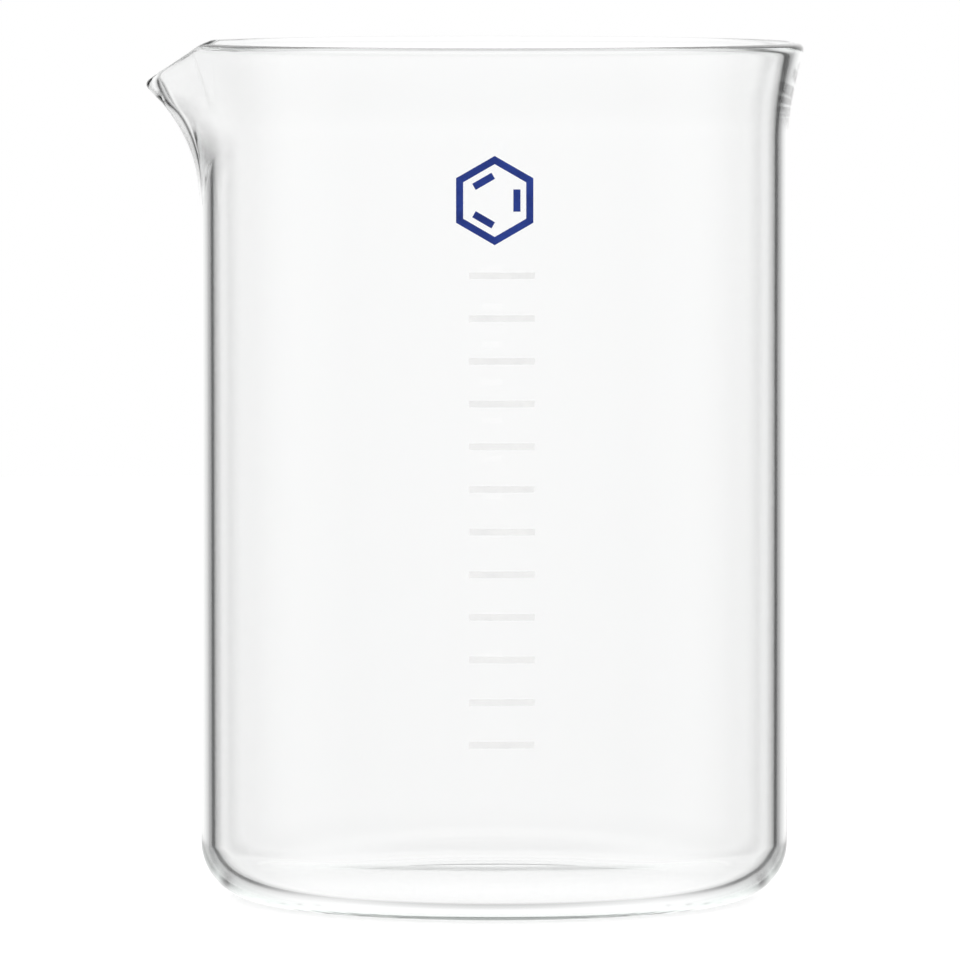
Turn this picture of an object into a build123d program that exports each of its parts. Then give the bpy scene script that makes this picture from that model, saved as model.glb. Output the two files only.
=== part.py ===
from build123d import *
import os
from math import acos, atan2, cos, degrees, radians, sin, sqrt

# A low-form laboratory beaker of borosilicate glass, in millimetres. The origin is the middle of
# the base, +Z is up, the spout points along -X and the enamel faces -Y.

# The glass
body_diameter = 80.0
height = 116.5
wall = 1.8
base_thickness = 2.1
heel_radius = 7.6
inner_heel_radius = 5.8
foot_width = 5.4
recess_depth = 0.5

# The rim: the wall bends outwards over the rim band and ends in a thicker, fire-polished edge
rim_band = 13.0
rim_reach = 2.05
rim_lean = 14.0
rim_bend = 4.0
rim_run = 4.0
edge_thickness = 2.4
edge_swell = 0.95
edge_round = 0.8

# The spout: the rim is drawn out and dips in a straight line to the tip
spout_band = 24.0
spout_reach = 7.3
spout_tip_round = 9.0
spout_start = 38.4
spout_dip_angle = 33.0
spout_dip_round = 1.4
spout_lean = 38.0
spout_bend = 9.0
spout_run = 8.0
spout_wall = 1.5
spout_thinned = 1.0
spout_edge = 2.2
spout_swell = 0.16
spout_sections = 29
spout_margin = 1.0

# Where the points of a bent face lie, as shares of the way up the bend
face_places = (0.0, 0.2, 0.4, 0.55, 0.7, 0.8, 0.9, 0.97)

# The enamel, fired on the outside of the wall
enamel_thickness = 0.05
mark_count = 12
first_mark_height = 24.2
mark_pitch = 5.66
mark_width = 8.7
mark_height = 0.85
mark_offset = 0.95
badge_height = 96.4
badge_radius = 5.9
badge_line = 0.95
badge_gap = 0.75
badge_bond_length = 2.95

body_radius = body_diameter / 2
bore_radius = body_radius - wall
mid_radius = body_radius - wall / 2
recess_radius = body_radius - heel_radius - foot_width
edge_flat = edge_thickness / 2 - edge_round
shaped_start = height - spout_band - spout_margin
edge_height = height - edge_round - edge_flat * sin(radians(rim_lean))
edge_radius = body_radius + rim_reach - edge_round - edge_flat * cos(radians(rim_lean))
tip_flat = spout_edge / 2 - edge_round
tip_radius = body_radius + spout_reach - edge_round - tip_flat * cos(radians(spout_lean))
tip_centre = tip_radius - spout_tip_round
spout_half_angle = degrees(acos((edge_radius - spout_tip_round) / tip_centre))


def mix(low, high, share):
    return low + (high - low) * share


def ease(share):
    """0 below 0, 1 above 1, and a smooth step between them."""
    held = min(max(share, 0.0), 1.0)
    return held * held * (3 - 2 * held)


def drawn_radius(angle):
    """The edge's radius at an angle from the spout's middle, in degrees.

    Seen from above, the edge runs straight from the round rim to the small circle of the tip.
    """
    turn = radians(abs(angle))
    half = radians(spout_half_angle)
    if turn >= half:
        return edge_radius
    tip_turn = atan2(spout_tip_round * sin(half), tip_centre + spout_tip_round * cos(half))
    if turn >= tip_turn:
        return edge_radius / cos(half - turn)
    return tip_centre * cos(turn) + sqrt(spout_tip_round**2 - (tip_centre * sin(turn)) ** 2)


def spout_share(angle):
    """How much of the spout's full reach the rim has at an angle from the spout's middle."""
    return (drawn_radius(angle) - edge_radius) / (tip_radius - edge_radius)


def spout_dip(radius, angle):
    """How far the edge dips: a straight slope past the spout's start, eased in at its top."""
    past = radius * cos(radians(angle)) - spout_start
    if past <= 0:
        return 0.0
    eased = min(past, spout_dip_round)
    slope = sin(radians(spout_dip_angle)) / cos(radians(spout_dip_angle))
    return slope * (eased * eased / (2 * spout_dip_round) + past - eased)


def centre_line(angle):
    """The four control points of the bent wall's middle line at an angle, as radius and height."""
    share = spout_share(angle)
    radius = mix(edge_radius, tip_radius, share)
    start = height - mix(rim_band, spout_band, share)
    top = edge_height - spout_dip(radius, angle)
    lean = radians(mix(rim_lean, spout_lean, share))
    run = mix(rim_run, spout_run, share)
    bend = mix(rim_bend, spout_bend, share)
    return [
        Vector(mid_radius, start),
        Vector(mid_radius, start + bend),
        Vector(radius - run * sin(lean), top - run * cos(lean)),
        Vector(radius, top),
    ]


def along(points, place):
    """The point and the unit direction at a place from 0 to 1 along a cubic Bezier curve."""
    a, b, c, d = points
    rest = 1 - place
    spot = a * rest**3 + b * 3 * rest**2 * place + c * 3 * rest * place**2 + d * place**3
    turn = (b - a) * rest**2 + (c - b) * 2 * rest * place + (d - c) * place**2
    return spot, turn.normalized()


def half_edge(share):
    return mix(edge_thickness, spout_edge, share) / 2


def half_wall(place, share):
    """Half the glass's thickness: thinner where the spout is drawn out, thicker at the edge."""
    plain = mix(wall, spout_wall, share * ease(place / spout_thinned)) / 2
    swell = mix(edge_swell, spout_swell, share)
    return mix(plain, half_edge(share), ease((place - 1 + swell) / swell))


def side_points(angle, side):
    """Points up one face of the wall, which is side = 1 outside and side = -1 inside."""
    points = centre_line(angle)
    share = spout_share(angle)
    found = []
    for place in face_places:
        spot, turn = along(points, place)
        across = Vector(turn.Y, -turn.X)
        found.append(spot + across * side * half_wall(place, share))
    return found


def edge_corner(angle, side):
    """The rounded corner of the edge on one side, from the wall's face to the edge's top."""
    spot, turn = along(centre_line(angle), 1.0)
    across = Vector(turn.Y, -turn.X) * side
    middle = spot + across * (half_edge(spout_share(angle)) - edge_round)
    diagonal = (across + turn).normalized()
    return ThreePointArc(
        middle + across * edge_round, middle + diagonal * edge_round, middle + turn * edge_round
    )


def shaped_profile(angle):
    """The closed outline of the top of the wall, cut in the upright plane at an angle."""
    turn = along(centre_line(angle), 1.0)[1]
    outer_corner = edge_corner(angle, 1)
    inner_corner = edge_corner(angle, -1)
    upright = Vector(0, 1)
    outer = Spline(*side_points(angle, 1), outer_corner @ 0, tangents=(upright, turn))
    inner = Spline(*side_points(angle, -1), inner_corner @ 0, tangents=(upright, turn))
    outer_foot = Vector(body_radius, shaped_start)
    inner_foot = Vector(bore_radius, shaped_start)
    outline = [
        Line(outer_foot, outer @ 0),
        outer,
        outer_corner,
        Line(outer_corner @ 1, inner_corner @ 1),
        inner_corner,
        inner,
        Line(inner @ 0, inner_foot),
        Line(inner_foot, outer_foot),
    ]
    return make_face(Curve() + outline)


def upright_plane(angle):
    """The upright plane through the axis whose +X runs out at an angle from the spout's middle."""
    turned = radians(180 + angle)
    out = Vector(cos(turned), sin(turned), 0)
    return Plane(origin=(0, 0, 0), x_dir=out, z_dir=out.cross(Vector(0, 0, 1)))


def lower_body():
    """The base with its rounded heel and its recess, and the plain wall below the shaped top."""
    outside = Cylinder(body_radius, shaped_start, align=(Align.CENTER, Align.CENTER, Align.MIN))
    outside = fillet(outside.edges().sort_by(Axis.Z)[0], heel_radius)
    inside_height = shaped_start - base_thickness
    inside = Cylinder(bore_radius, inside_height, align=(Align.CENTER, Align.CENTER, Align.MIN))
    inside = Pos(0, 0, base_thickness) * fillet(inside.edges().sort_by(Axis.Z)[0], inner_heel_radius)
    dome_radius = (recess_radius**2 + recess_depth**2) / (2 * recess_depth)
    dome = Pos(0, 0, recess_depth - dome_radius) * Sphere(dome_radius)
    return outside - inside - dome


def plain_rim():
    """The top of the wall all the way round but for the spout."""
    face = upright_plane(spout_half_angle) * shaped_profile(spout_half_angle)
    return revolve(face, Axis.Z, 360 - 2 * spout_half_angle)


def spout():
    """The top of the wall over the spout, lofted through its upright cuts."""
    cuts = []
    for index in range(spout_sections):
        angle = mix(-spout_half_angle, spout_half_angle, index / (spout_sections - 1))
        cuts.append(upright_plane(angle) * shaped_profile(angle))
    return loft(cuts)


def glass_vessel():
    return Solid.fuse(lower_body().solid(), plain_rim().solid(), spout().solid(), tol=1e-4)


def enamel_patch(outline, centre_height):
    """An outline drawn flat, in front of the beaker, laid on the wall's outside as thin enamel."""
    front = Plane(origin=(0, 0, centre_height), x_dir=(1, 0, 0), z_dir=(0, -1, 0))
    block = extrude(front * outline, 2 * body_radius)
    band = 2 * body_radius
    shell = Cylinder(body_radius + enamel_thickness, band) - Cylinder(body_radius, band)
    return block & Pos(0, 0, centre_height) * shell


def graduation(number):
    outline = Pos(mark_offset, 0) * Rectangle(mark_width, mark_height)
    return enamel_patch(outline, first_mark_height + mark_pitch * number)


def badge_ring():
    """The hexagon of a benzene ring."""
    inner_radius = badge_radius - badge_line / cos(radians(30))
    outline = RegularPolygon(badge_radius, 6, rotation=30) - RegularPolygon(inner_radius, 6, rotation=30)
    return enamel_patch(outline, badge_height)


def badge_bond(number):
    """One of the three inner lines of the ring, beside every second side."""
    flat_distance = badge_radius * cos(radians(30)) - badge_line
    bond_distance = flat_distance - badge_gap - badge_line / 2
    outline = Rot(0, 0, 120 * number) * Pos(bond_distance, 0) * Rectangle(badge_line, badge_bond_length)
    return enamel_patch(outline, badge_height)


def write(name, shape):
    export_step(shape, f"parts/{name}.step")


os.makedirs("parts", exist_ok=True)
write("glass_vessel", glass_vessel())
for number in range(mark_count):
    write(f"graduation_{number + 1:02d}", graduation(number))
write("badge_ring", badge_ring())
for number in range(3):
    write(f"badge_bond_{number + 1}", badge_bond(number))
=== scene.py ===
from math import acos, atan2, cos, hypot, pi, radians, sin, sqrt, tan

import bpy
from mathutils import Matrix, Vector
from mathutils.kdtree import KDTree


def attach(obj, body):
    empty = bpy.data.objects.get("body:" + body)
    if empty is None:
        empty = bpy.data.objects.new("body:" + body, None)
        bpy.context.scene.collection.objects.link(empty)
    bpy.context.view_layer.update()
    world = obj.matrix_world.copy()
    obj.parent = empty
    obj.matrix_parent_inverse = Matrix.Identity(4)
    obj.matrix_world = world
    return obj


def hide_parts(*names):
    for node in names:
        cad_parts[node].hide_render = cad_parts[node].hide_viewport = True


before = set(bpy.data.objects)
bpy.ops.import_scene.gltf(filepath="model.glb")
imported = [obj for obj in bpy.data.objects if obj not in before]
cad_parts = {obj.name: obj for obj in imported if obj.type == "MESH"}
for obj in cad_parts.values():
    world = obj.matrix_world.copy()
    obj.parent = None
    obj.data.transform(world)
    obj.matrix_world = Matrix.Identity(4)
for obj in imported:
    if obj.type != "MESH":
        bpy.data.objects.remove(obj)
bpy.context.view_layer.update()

# A low-form laboratory beaker on a pale floor. Metres, +Z up, the spout along -X, enamel on -Y.
MM = 0.001

# The glass
body_radius = 40.0 * MM
wall = 1.8 * MM
base_thickness = 2.1 * MM
heel_radius = 7.6 * MM
inner_heel_radius = 5.8 * MM
foot_width = 5.4 * MM
recess_depth = 0.5 * MM
height = 116.5 * MM

# The rim and its fire-polished edge
rim_band = 13.0 * MM
rim_reach = 2.05 * MM
rim_lean = radians(14)
rim_bend = 4.0 * MM
rim_run = 4.0 * MM
edge_thickness = 2.4 * MM
edge_swell = 0.95
edge_round = 0.8 * MM

# The spout
spout_band = 24.0 * MM
spout_reach = 7.3 * MM
spout_tip_round = 9.0 * MM
spout_start = 38.4 * MM
spout_dip_angle = radians(33)
spout_dip_round = 1.4 * MM
spout_lean = radians(38)
spout_bend = 9.0 * MM
spout_run = 8.0 * MM
spout_wall = 1.5 * MM
spout_thinned = 1.0
spout_edge = 2.2 * MM
spout_swell = 0.16

# How finely the glass is divided
turn_steps = 512
wall_steps = 3
bend_steps = 24
heel_steps = 24
corner_steps = 5
recess_steps = 6
weld_distance = 0.002 * MM
angle_digits = 4

# The glass's finish: its bend of light, the tint in its depth, drawing waves and wiping marks
glass_ior = 1.473
glass_tint = (0.78, 0.95, 0.88, 1.0)
tint_density = 6.0
wave_scale = 90.0
wave_stretch = (1, 1, 0.12)
wave_strength = 0.06
wave_height = 0.2 * MM
smear_scale = 38.0
smear_stretch = (1, 1, 0.4)
smear_start = 0.55
smear_slope = 4.0
smear_roughness = 0.02

# The enamels: their light and dark shades, and a grain that gives them a soft gloss
white_light = (0.82, 0.82, 0.81, 1)
white_dark = (0.75, 0.75, 0.75, 1)
white_roughness = 0.35
blue_light = (0.012, 0.045, 0.30, 1)
blue_dark = (0.005, 0.022, 0.18, 1)
blue_roughness = 0.28
enamel_ior = 1.5
grain_scale = 2600.0
grain_strength = 0.35
grain_height = 0.02 * MM
grain_roughness = 0.18
cloud_scale = 420.0
cloud_share = 0.6
shade_start = 0.3
shade_slope = 2.5

# Where it is looked at from: a little above the rim and to the left of the middle
camera_distance = 1.38
camera_height = 0.1455
view_width = 0.1308
view_centre = Vector((-0.00194, 0, 0.05685))
sensor_width = 36.0
sight_end = 100.0

# The table and the light. The tent's brightness goes by the turn from its back panel's middle and by
# the rise above the horizon, in degrees, and the turn counts less where the way up or down is steep
floor_radius = 0.9
floor_corners = 128
floor_gap = 0.05 * MM
floor_white = (0.93, 0.93, 0.93, 1)
floor_roughness = 0.8
floor_glow = 0.6
paper_scale = 60.0
paper_roughness = 0.1
white = (1, 1, 1, 1)
soft_light = 0.92
tent_round = [
    (0, 1.12),
    (11, 1.12),
    (26, 0.47),
    (29, 0.04),
    (33, 0.04),
    (45, 0.8),
    (60, 0.32),
    (90, 0.3),
    (120, 0.03),
]
tent_rise = [
    (-90, 0.5),
    (-60, 0.7),
    (-42, 1.0),
    (-10, 0.93),
    (0, 1.0),
    (10, 0.93),
    (45, 1.0),
    (58, 0.6),
    (70, 0.02),
]
steep_start = 0.5
steep_end = 0.8
least_level = 0.0001
light_bounces = 32

bore_radius = body_radius - wall
mid_radius = body_radius - wall / 2
recess_radius = body_radius - heel_radius - foot_width
edge_flat = edge_thickness / 2 - edge_round
edge_height = height - edge_round - edge_flat * sin(rim_lean)
edge_radius = body_radius + rim_reach - edge_round - edge_flat * cos(rim_lean)
tip_flat = spout_edge / 2 - edge_round
tip_radius = body_radius + spout_reach - edge_round - tip_flat * cos(spout_lean)
tip_centre = tip_radius - spout_tip_round
spout_half_angle = acos((edge_radius - spout_tip_round) / tip_centre)


def mix(low, high, share):
    return low + (high - low) * share


def ease(share):
    """0 below 0, 1 above 1, and a smooth step between them."""
    held = min(max(share, 0.0), 1.0)
    return held * held * (3 - 2 * held)


def arc(centre, radius, start, end, steps):
    """Points on an arc, its first and last included, as radius and height."""
    turned = [mix(start, end, step / steps) for step in range(steps + 1)]
    return [Vector((centre[0] + radius * cos(a), centre[1] + radius * sin(a))) for a in turned]


# ---------------------------------------------------------------- the glass


def drawn_radius(angle):
    """The edge's radius: from above it runs straight from the round rim to the tip's circle."""
    turn = abs(angle)
    half = spout_half_angle
    if turn >= half:
        return edge_radius
    tip_turn = atan2(spout_tip_round * sin(half), tip_centre + spout_tip_round * cos(half))
    if turn >= tip_turn:
        return edge_radius / cos(half - turn)
    return tip_centre * cos(turn) + sqrt(spout_tip_round**2 - (tip_centre * sin(turn)) ** 2)


def spout_share(angle):
    """How much of the spout's full reach the rim has at an angle from the spout's middle."""
    return (drawn_radius(angle) - edge_radius) / (tip_radius - edge_radius)


def spout_dip(radius, angle):
    """How far the edge dips: a straight slope past the spout's start, eased in at its top."""
    past = radius * cos(angle) - spout_start
    if past <= 0 or abs(angle) >= spout_half_angle:
        return 0.0
    eased = min(past, spout_dip_round)
    return tan(spout_dip_angle) * (eased * eased / (2 * spout_dip_round) + past - eased)


def centre_line(angle):
    """The four control points of the bent wall's middle line at an angle from the spout."""
    share = spout_share(angle)
    radius = mix(edge_radius, tip_radius, share)
    start = height - mix(rim_band, spout_band, share)
    top = edge_height - spout_dip(radius, angle)
    lean = mix(rim_lean, spout_lean, share)
    run = mix(rim_run, spout_run, share)
    bend = mix(rim_bend, spout_bend, share)
    return [
        Vector((mid_radius, start)),
        Vector((mid_radius, start + bend)),
        Vector((radius - run * sin(lean), top - run * cos(lean))),
        Vector((radius, top)),
    ]


def along(points, place):
    """The point and the unit direction at a place from 0 to 1 along a cubic Bezier curve."""
    a, b, c, d = points
    rest = 1 - place
    spot = a * rest**3 + b * 3 * rest**2 * place + c * 3 * rest * place**2 + d * place**3
    way = (b - a) * rest**2 + (c - b) * 2 * rest * place + (d - c) * place**2
    return spot, way.normalized()


def half_edge(share):
    return mix(edge_thickness, spout_edge, share) / 2


def half_wall(place, share):
    """Half the glass's thickness: thinner where the spout is drawn out, thicker at the edge."""
    plain = mix(wall, spout_wall, share * ease(place / spout_thinned)) / 2
    swell = mix(edge_swell, spout_swell, share)
    return mix(plain, half_edge(share), ease((place - 1 + swell) / swell))


def bent_side(angle, side):
    """Points up the bent wall's outside, side = 1, or its inside, side = -1."""
    points = centre_line(angle)
    share = spout_share(angle)
    found = []
    for step in range(bend_steps):
        place = step / bend_steps
        spot, way = along(points, place)
        across = Vector((way.y, -way.x)) * side
        found.append(spot + across * half_wall(place, share))
    return found


def edge_outline(angle):
    """The edge's rounded top, from the wall's outside over to its inside."""
    spot, way = along(centre_line(angle), 1.0)
    across = Vector((way.y, -way.x))
    flat = across * (half_edge(spout_share(angle)) - edge_round)
    heading = atan2(across.y, across.x)
    outer = arc(spot + flat, edge_round, heading, heading + pi / 2, corner_steps)
    inner = arc(spot - flat, edge_round, heading + pi / 2, heading + pi, corner_steps)
    return outer + inner


def wall_stretch(radius, low, high):
    """Points up a straight stretch of wall, its upper end left out."""
    return [Vector((radius, mix(low, high, step / wall_steps))) for step in range(wall_steps)]


def base_outline():
    """The underside from the axis out: a shallow recess, the ring that it stands on, the heel."""
    dome = (recess_radius**2 + recess_depth**2) / (2 * recess_depth)
    spread = [recess_radius * step / recess_steps for step in range(recess_steps + 1)]
    recess = [Vector((r, recess_depth - dome + sqrt(dome * dome - r * r))) for r in spread]
    recess[-1].y = 0.0
    heel_centre = (body_radius - heel_radius, heel_radius)
    return recess + arc(heel_centre, heel_radius, -pi / 2, 0, heel_steps)


def floor_outline():
    """The inside of the base, from the wall down round the inner heel to the axis."""
    centre = (bore_radius - inner_heel_radius, base_thickness + inner_heel_radius)
    heel = arc(centre, inner_heel_radius, 0, -pi / 2, heel_steps)
    reach = heel[-1].x
    inwards = [mix(reach, 0, step / recess_steps) for step in range(1, recess_steps + 1)]
    return heel + [Vector((radius, base_thickness)) for radius in inwards]


def outline(angle):
    """The glass cut in the upright plane at an angle from the spout, as one line of points."""
    start = centre_line(angle)[0].y
    outside = wall_stretch(body_radius, heel_radius, start)[1:]
    inside = wall_stretch(bore_radius, base_thickness + inner_heel_radius, start)[1:]
    return (
        base_outline()
        + outside
        + bent_side(angle, 1)
        + edge_outline(angle)
        + bent_side(angle, -1)[::-1]
        + inside[::-1]
        + floor_outline()
    )


def deselect():
    bpy.ops.object.select_all(action="DESELECT")


def spun_glass():
    """The plain outline drawn by extruding one corner, spun round the axis into a closed wall."""
    points = outline(pi)
    bpy.ops.mesh.primitive_plane_add(size=MM, location=(0, 0, 0))
    glass = bpy.context.object
    glass.name = "glass_beaker"
    bpy.ops.object.mode_set(mode="EDIT")
    bpy.ops.mesh.merge(type="CENTER")
    bpy.ops.transform.translate(value=(points[0].x, 0, points[0].y))
    for last, point in zip(points, points[1:]):
        step = (point.x - last.x, 0, point.y - last.y)
        bpy.ops.mesh.extrude_region_move(TRANSFORM_OT_translate={"value": step})
    bpy.ops.mesh.select_all(action="SELECT")
    bpy.ops.mesh.spin(steps=turn_steps, angle=2 * pi, center=(0, 0, 0), axis=(0, 0, 1))
    bpy.ops.mesh.select_all(action="SELECT")
    bpy.ops.mesh.remove_doubles(threshold=weld_distance)
    bpy.ops.mesh.normals_make_consistent(inside=False)
    bpy.ops.object.mode_set(mode="OBJECT")
    return glass


def draw_out_spout(glass):
    """Moves the top of the wall near -X from the plain outline to the spout's."""
    plain = outline(pi)
    finder = KDTree(len(plain))
    for index, point in enumerate(plain):
        finder.insert((point.x, point.y, 0), index)
    finder.balance()
    shaped = {}
    for vertex in glass.data.vertices:
        x, y, z = vertex.co
        angle = atan2(-y, -x)
        if abs(angle) >= spout_half_angle or z < heel_radius:
            continue
        index = finder.find((hypot(x, y), z, 0))[1]
        key = round(angle, angle_digits)
        if key not in shaped:
            shaped[key] = outline(angle)
        point = shaped[key][index]
        vertex.co = (-point.x * cos(angle), -point.x * sin(angle), point.y)


# ---------------------------------------------------------------- materials


class Number:
    """A number in a node tree, which Python's operators work on."""

    def __init__(self, nodes, socket):
        self.nodes = nodes
        self.socket = socket

    def maths(self, operation, first, second):
        return self.nodes.maths(operation, first, second)

    def __add__(self, other):
        return self.maths("ADD", self, other)

    def __radd__(self, other):
        return self.maths("ADD", other, self)

    def __sub__(self, other):
        return self.maths("SUBTRACT", self, other)

    def __rsub__(self, other):
        return self.maths("SUBTRACT", other, self)

    def __mul__(self, other):
        return self.maths("MULTIPLY", self, other)

    def __truediv__(self, other):
        return self.maths("DIVIDE", self, other)

    def power(self, other):
        return self.maths("POWER", self, other)

    def held(self):
        """The number kept between 0 and 1."""
        return self.maths("MINIMUM", self.maths("MAXIMUM", self, 0.0), 1.0)


class Nodes:
    """A node tree, and the one way that a node is added to it."""

    def __init__(self, tree):
        self.tree = tree
        tree.nodes.clear()

    def add(self, kind, settings=None, inputs=None):
        node = self.tree.nodes.new(kind)
        for name, value in (settings or {}).items():
            if name == "stops":
                self.set_stops(node, value)
            else:
                setattr(node, name, value)
        for name, value in (inputs or {}).items():
            if isinstance(value, Number):
                value = value.socket
            if isinstance(value, bpy.types.NodeSocket):
                self.tree.links.new(value, node.inputs[name])
            else:
                node.inputs[name].default_value = value
        return node

    def set_stops(self, node, stops):
        ramp = node.color_ramp.elements
        while len(ramp) < len(stops):
            ramp.new(1.0)
        for element, (place, colour) in zip(ramp, stops):
            element.position = place
            element.color = colour

    def ramp(self, number, stops):
        return self.number(self.add("ShaderNodeValToRGB", {"stops": stops}, {0: number}))

    def number(self, node, output=0):
        return Number(self, node.outputs[output])

    def maths(self, operation, first, second):
        return self.number(self.add("ShaderNodeMath", {"operation": operation}, {0: first, 1: second}))

    def noise(self, place, scale, detail=2.0, stretch=(1, 1, 1)):
        """Smooth noise from about 0 to 1, its grain set by scale and pulled out by stretch."""
        mapped = self.add("ShaderNodeMapping", None, {"Vector": place, "Scale": stretch})
        node = self.add(
            "ShaderNodeTexNoise",
            None,
            {"Vector": mapped.outputs[0], "Scale": scale, "Detail": detail},
        )
        return self.number(node)

    def bump(self, height, strength, distance):
        """The normal of a surface whose relief follows a number."""
        settings = {"Strength": strength, "Distance": distance, "Height": height}
        return self.add("ShaderNodeBump", None, settings).outputs[0]


def new_material(name):
    material = bpy.data.materials.new(name)
    material.use_nodes = True
    nodes = Nodes(material.node_tree)
    place = nodes.add("ShaderNodeTexCoord").outputs["Object"]
    return material, nodes, place


def clear_glass():
    """Borosilicate glass: faint drawing waves, a few wiping marks, a trace of green in its depth."""
    material, nodes, place = new_material("clear_glass")
    waves = nodes.noise(place, wave_scale, detail=1.0, stretch=wave_stretch)
    smears = nodes.noise(place, smear_scale, detail=4.0, stretch=smear_stretch)
    roughness = ((smears - smear_start) * smear_slope).held() * smear_roughness
    bump = nodes.bump(waves, wave_strength, wave_height)
    glass = nodes.add(
        "ShaderNodeBsdfPrincipled",
        None,
        {
            "Base Color": white,
            "Roughness": roughness,
            "IOR": glass_ior,
            "Transmission Weight": 1.0,
            "Normal": bump,
        },
    )
    tint = {"Color": glass_tint, "Density": tint_density}
    depth = nodes.add("ShaderNodeVolumeAbsorption", None, tint)
    both = {"Surface": glass.outputs[0], "Volume": depth.outputs[0]}
    nodes.add("ShaderNodeOutputMaterial", None, both)
    return material


def fired_enamel(name, light, dark, roughness):
    """Screen-printed enamel: a fine grain, a slightly uneven colour and a soft gloss."""
    material, nodes, place = new_material(name)
    grain = nodes.noise(place, grain_scale, detail=3.0)
    cloud = nodes.noise(place, cloud_scale)
    uneven = cloud * cloud_share + grain * (1 - cloud_share)
    shade = ((uneven - shade_start) * shade_slope).held()
    colour = nodes.add("ShaderNodeMix", {"data_type": "RGBA"}, {"Factor": shade, 6: dark, 7: light})
    bump = nodes.bump(grain, grain_strength, grain_height)
    enamel = nodes.add(
        "ShaderNodeBsdfPrincipled",
        None,
        {
            "Base Color": colour.outputs[2],
            "Roughness": roughness + grain * grain_roughness,
            "IOR": enamel_ior,
            "Normal": bump,
        },
    )
    nodes.add("ShaderNodeOutputMaterial", None, {"Surface": enamel.outputs[0]})
    return material


def finish_enamel(prefix, material):
    """Gives the CAD's enamel patches of one kind their material."""
    for name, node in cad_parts.items():
        if name.startswith(prefix):
            node.data.materials.clear()
            node.data.materials.append(material)


# ---------------------------------------------------------------- the studio


def pale_floor():
    """A round white table top, lit softly all over and left out of what the glass shows."""
    bpy.ops.mesh.primitive_circle_add(
        vertices=floor_corners, radius=floor_radius, fill_type="NGON", location=(0, 0, -floor_gap)
    )
    floor = bpy.context.object
    floor.name = "pale_floor"
    floor.visible_transmission = False
    floor.visible_glossy = False
    material, nodes, place = new_material("pale_floor")
    paper = nodes.noise(place, paper_scale)
    surface = nodes.add(
        "ShaderNodeBsdfPrincipled",
        None,
        {
            "Base Color": floor_white,
            "Roughness": floor_roughness + paper * paper_roughness,
            "Emission Color": white,
            "Emission Strength": floor_glow,
        },
    )
    nodes.add("ShaderNodeOutputMaterial", None, {"Surface": surface.outputs[0]})
    floor.data.materials.append(material)


def grey_stops(marks, share):
    """A colour ramp's stops from angles and brightnesses, each angle turned into its place."""
    places = [((1 + share(radians(angle))) / 2, light) for angle, light in marks]
    return [(place, (light, light, light, 1)) for place, light in sorted(places)]


def white_tent():
    """A tent with a bright back panel and darker sides, and even soft light on what is solid."""
    world = bpy.data.worlds.new("white_tent")
    world.use_nodes = True
    bpy.context.scene.world = world
    nodes = Nodes(world.node_tree)
    way = nodes.add("ShaderNodeTexCoord").outputs["Generated"]
    parts = nodes.add("ShaderNodeSeparateXYZ", None, {"Vector": way})
    x, y, z = [nodes.number(parts, index) for index in range(3)]
    level = (x * x + y * y + least_level).power(0.5)
    around = nodes.ramp(y / level * 0.5 + 0.5, grey_stops(tent_round, cos))
    above = nodes.ramp(z * 0.5 + 0.5, grey_stops(tent_rise, sin))
    steep = ((nodes.maths("ABSOLUTE", z, 0.0) - steep_start) / (steep_end - steep_start)).held()
    tent = above * (around + (1.0 - around) * steep)
    path = nodes.add("ShaderNodeLightPath")
    seen = nodes.number(path, "Is Camera Ray")
    scattered = nodes.maths("GREATER_THAN", nodes.number(path, "Diffuse Depth"), 0.5)
    strength = seen + (1.0 - seen) * (tent + scattered * (soft_light - tent))
    light = nodes.add("ShaderNodeBackground", None, {"Color": white, "Strength": strength})
    nodes.add("ShaderNodeOutputWorld", None, {"Surface": light.outputs[0]})


def add_camera():
    """The camera, and as many bounces inside the glass as its clear edges need."""
    eye = Vector((view_centre.x, -camera_distance, camera_height))
    bpy.ops.object.camera_add(location=eye)
    camera = bpy.context.object
    camera.rotation_euler = (view_centre - eye).to_track_quat("-Z", "Y").to_euler()
    camera.data.sensor_width = sensor_width
    camera.data.lens = sensor_width * (view_centre - eye).length / view_width
    camera.data.clip_end = sight_end
    scene = bpy.context.scene
    scene.camera = camera
    scene.view_settings.view_transform = "Standard"
    scene.cycles.max_bounces = light_bounces
    scene.cycles.transmission_bounces = light_bounces
    scene.cycles.glossy_bounces = light_bounces


deselect()
glass = spun_glass()
draw_out_spout(glass)
bpy.ops.object.shade_smooth()
glass.data.materials.append(clear_glass())
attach(glass, "root")
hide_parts("glass_vessel")
finish_enamel("graduation", fired_enamel("white_enamel", white_light, white_dark, white_roughness))
finish_enamel("badge", fired_enamel("blue_enamel", blue_light, blue_dark, blue_roughness))
pale_floor()
white_tent()
add_camera()
